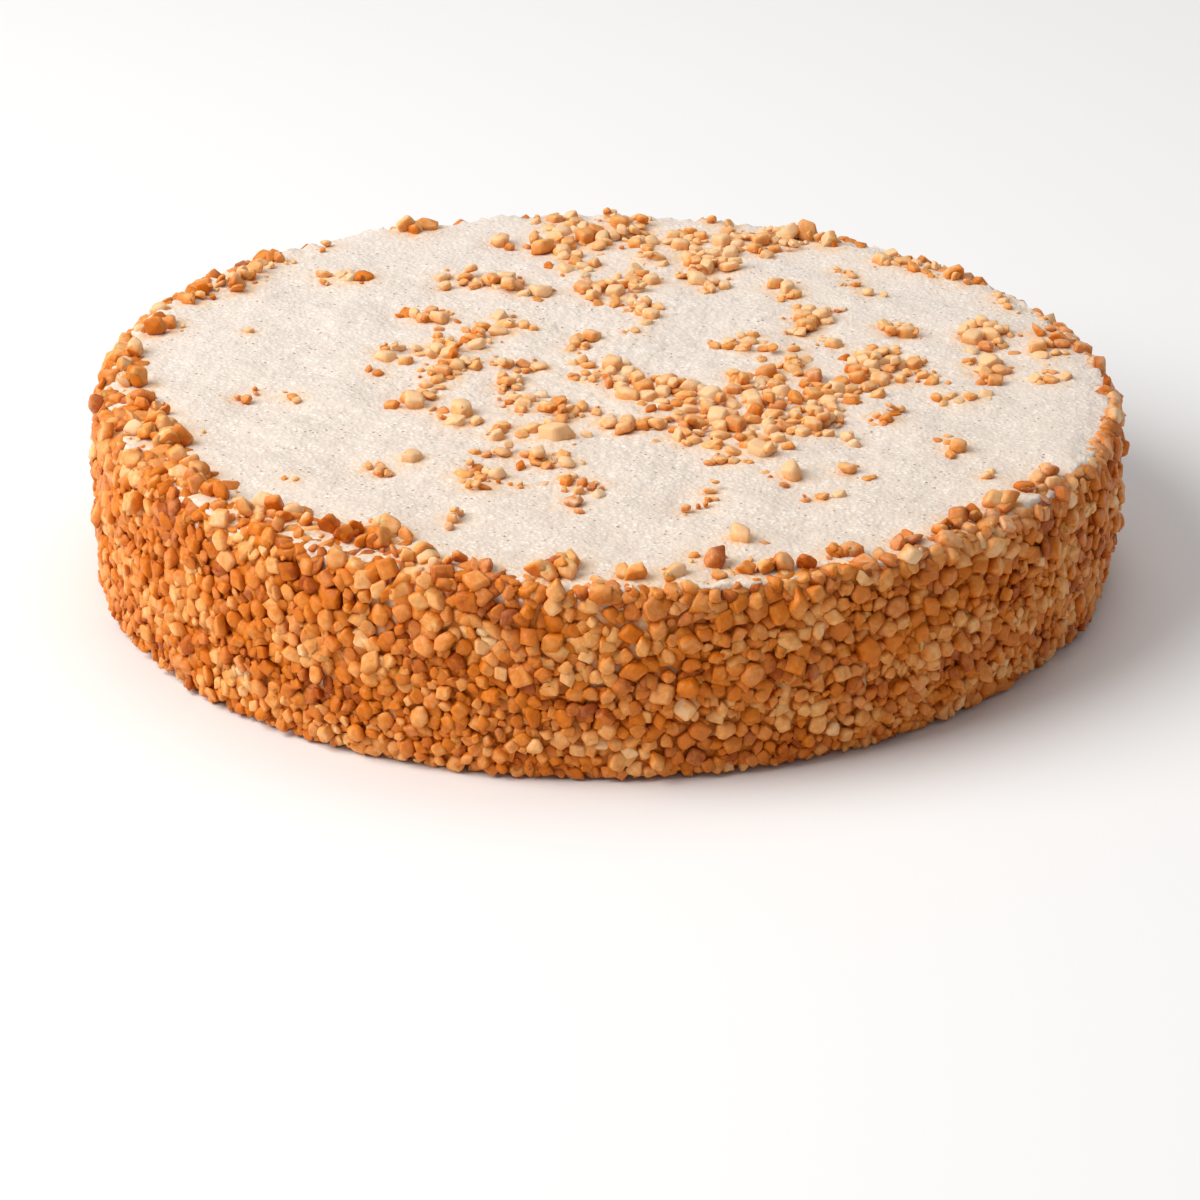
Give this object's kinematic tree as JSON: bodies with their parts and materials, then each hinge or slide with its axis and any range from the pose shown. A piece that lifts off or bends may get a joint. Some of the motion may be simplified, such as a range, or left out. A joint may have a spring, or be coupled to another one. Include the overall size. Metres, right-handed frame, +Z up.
{
  "type": "mille-feuille cake",
  "caption": "Whole round layered pastry cake, low and wide, with a sugared cream top and a wall coated in chopped roasted nuts. For a cake stand or a table.",
  "frame": {"origin": "middle of the bounding box's footprint, on the flat base that the cake rests on", "axes": "+Z up, -Y towards the front, +X to the right as seen from the front; the top is a little lower towards +X"},
  "size_m": [0.2787, 0.2784, 0.0605],
  "materials": {
    "nut_coating": "chopped roasted nuts in cream, slightly waxy",
    "sugared_cream": "matt cream dusted with icing sugar, with roasted nuts strewn on it"
  },
  "bodies": {
    "root": {"cake": "nut_coating", "sugar_top": "sugared_cream"}
  },
  "joints": []
}
